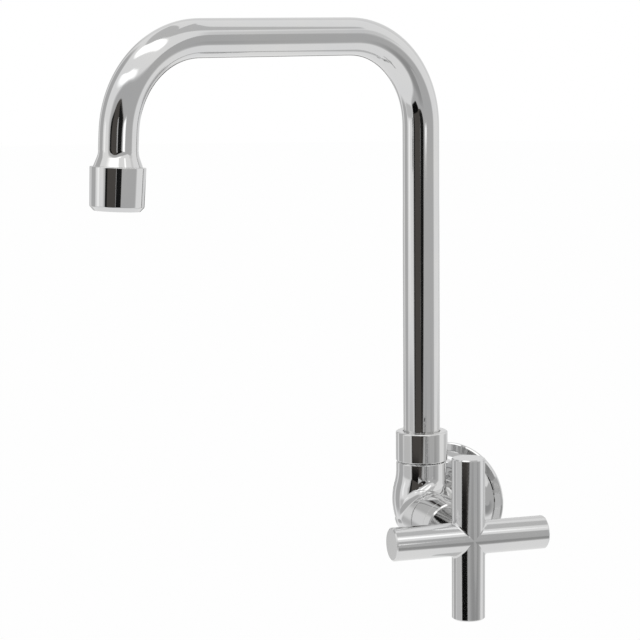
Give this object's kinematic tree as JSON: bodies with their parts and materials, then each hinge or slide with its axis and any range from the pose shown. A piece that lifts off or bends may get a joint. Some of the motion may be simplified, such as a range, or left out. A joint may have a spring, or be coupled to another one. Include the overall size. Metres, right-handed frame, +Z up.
{
  "type": "wall mounted kitchen faucet",
  "caption": "Single cold wall faucet for a kitchen sink: round flange, cast body with a cross handle at 45 degrees and a tall swivel spout bent twice, with an aerator.",
  "frame": {"origin": "where the inlet axis meets the wall", "axes": "+Z up, +Y into the wall along the inlet, +X to the right for someone who faces the wall; the faucet stands out towards -Y"},
  "size_m": [0.1756, 0.2332, 0.3002],
  "materials": {
    "chrome": "polished chrome plate on brass",
    "brass": "turned brass",
    "ceramic_disc": "lapped alumina",
    "black_rubber": "moulded nitrile rubber",
    "white_plastic": "turned acetal",
    "grey_plastic": "moulded acetal",
    "stainless": "plain stainless steel"
  },
  "bodies": {
    "body": {"valve_body": "chrome", "wall_escutcheon": "chrome", "wall_gasket": "black_rubber", "cartridge_housing": "brass", "cartridge_seal": "black_rubber", "seat_seal": "black_rubber", "fixed_disc": "ceramic_disc", "spindle_slip_washer": "white_plastic", "bonnet_sleeve": "chrome", "spout_nut": "chrome", "spout_thrust_washer": "white_plastic", "spout_slip_ring": "white_plastic"},
    "spout": {"spout_tube": "chrome", "spout_ferrule": "brass", "lower_spout_o_ring": "black_rubber", "upper_spout_o_ring": "black_rubber", "spout_nozzle": "chrome", "aerator_shell": "chrome", "aerator_washer": "black_rubber", "aerator_insert": "grey_plastic", "upper_aerator_screen": "stainless", "lower_aerator_screen": "stainless"},
    "handle": {"handle_cross": "chrome", "handle_skirt": "chrome", "spline_adapter": "white_plastic", "grub_screw": "stainless", "spindle": "brass", "lower_spindle_o_ring": "black_rubber", "upper_spindle_o_ring": "black_rubber", "spindle_clip": "stainless", "moving_disc": "ceramic_disc"}
  },
  "joints": [
    {"name": "spout_swivel", "type": "hinge", "parent": "body", "child": "spout", "pos_m": [0, -0.039, 0], "axis": [0, 0, 1], "range_deg": [-68.6, 121.4]},
    {"name": "handle_turn", "type": "hinge", "parent": "body", "child": "handle", "pos_m": [0, -0.039, 0], "axis": [0.7071, -0.7071, 0], "range_deg": [0, 90]}
  ]
}
